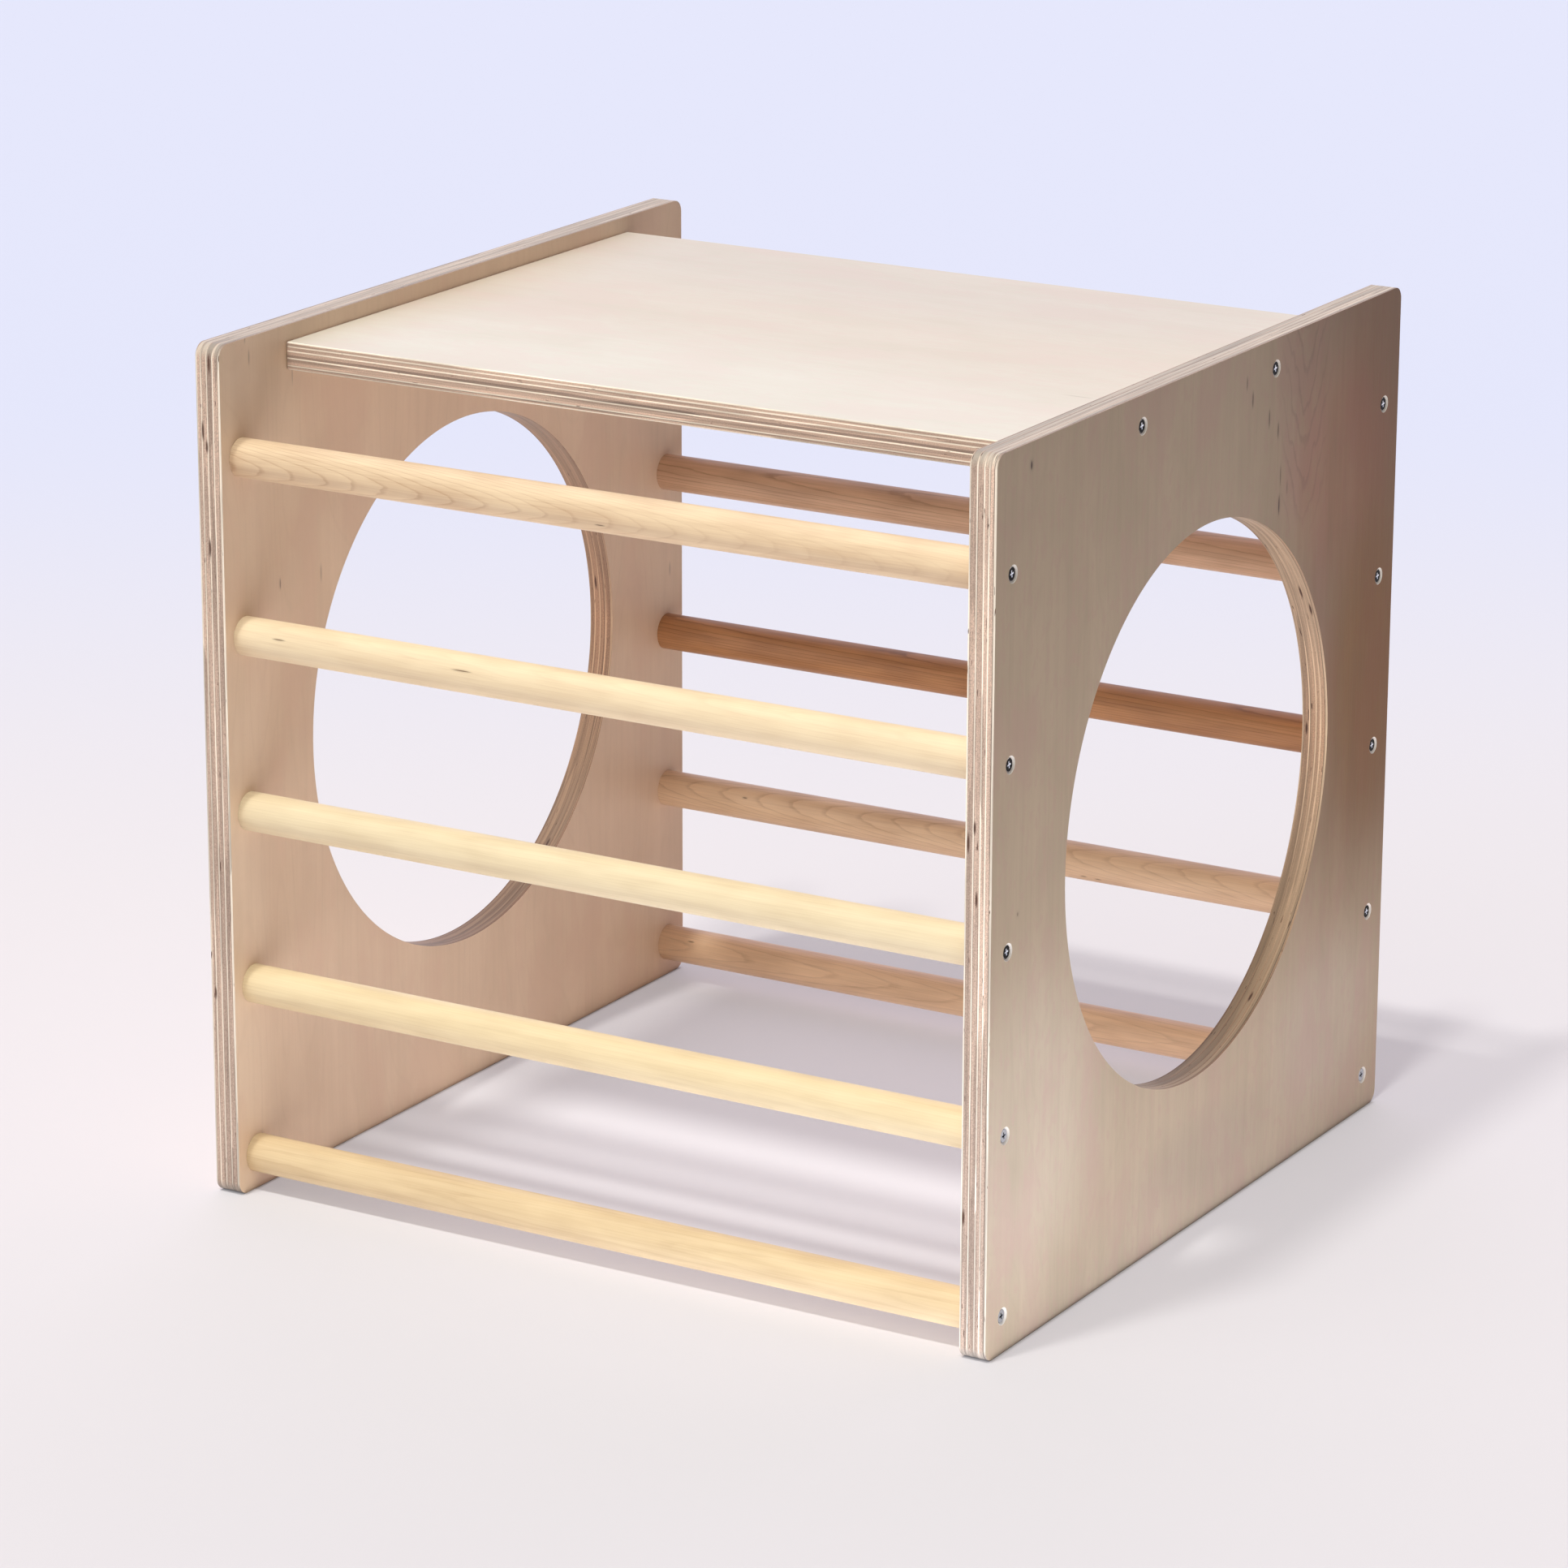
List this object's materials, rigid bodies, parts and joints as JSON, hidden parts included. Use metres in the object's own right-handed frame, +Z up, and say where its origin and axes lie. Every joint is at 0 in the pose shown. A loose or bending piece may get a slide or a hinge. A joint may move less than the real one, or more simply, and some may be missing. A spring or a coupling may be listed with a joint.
{
  "type": "play cube",
  "caption": "Wooden climbing cube: plywood sides with large round holes, joined by round rungs at the front and rear and by a plywood top panel.",
  "frame": {"origin": "centre of the cube's footprint on the floor", "axes": "+Z up, +X from the left side panel to the right one, along the rungs, +Y from front to rear"},
  "size_m": [0.566, 0.545, 0.56],
  "materials": {
    "side_plywood": "satin clear coat",
    "top_plywood": "satin clear coat",
    "rung_wood": "satin clear coat",
    "screw_steel": "zinc plated"
  },
  "bodies": {
    "root": {"left_side_panel": "side_plywood", "right_side_panel": "side_plywood", "top_panel": "top_plywood", "front_rung_1": "rung_wood", "front_rung_2": "rung_wood", "front_rung_3": "rung_wood", "front_rung_4": "rung_wood", "front_rung_5": "rung_wood", "rear_rung_1": "rung_wood", "rear_rung_2": "rung_wood", "rear_rung_3": "rung_wood", "rear_rung_4": "rung_wood", "rear_rung_5": "rung_wood", "front_rung_1_left_screw": "screw_steel", "front_rung_2_left_screw": "screw_steel", "front_rung_3_left_screw": "screw_steel", "front_rung_4_left_screw": "screw_steel", "front_rung_5_left_screw": "screw_steel", "top_panel_front_left_screw": "screw_steel", "rear_rung_1_left_screw": "screw_steel", "rear_rung_2_left_screw": "screw_steel", "rear_rung_3_left_screw": "screw_steel", "rear_rung_4_left_screw": "screw_steel", "rear_rung_5_left_screw": "screw_steel", "top_panel_rear_left_screw": "screw_steel", "front_rung_1_right_screw": "screw_steel", "front_rung_2_right_screw": "screw_steel", "front_rung_3_right_screw": "screw_steel", "front_rung_4_right_screw": "screw_steel", "front_rung_5_right_screw": "screw_steel", "top_panel_front_right_screw": "screw_steel", "rear_rung_1_right_screw": "screw_steel", "rear_rung_2_right_screw": "screw_steel", "rear_rung_3_right_screw": "screw_steel", "rear_rung_4_right_screw": "screw_steel", "rear_rung_5_right_screw": "screw_steel", "top_panel_rear_right_screw": "screw_steel"}
  },
  "joints": []
}
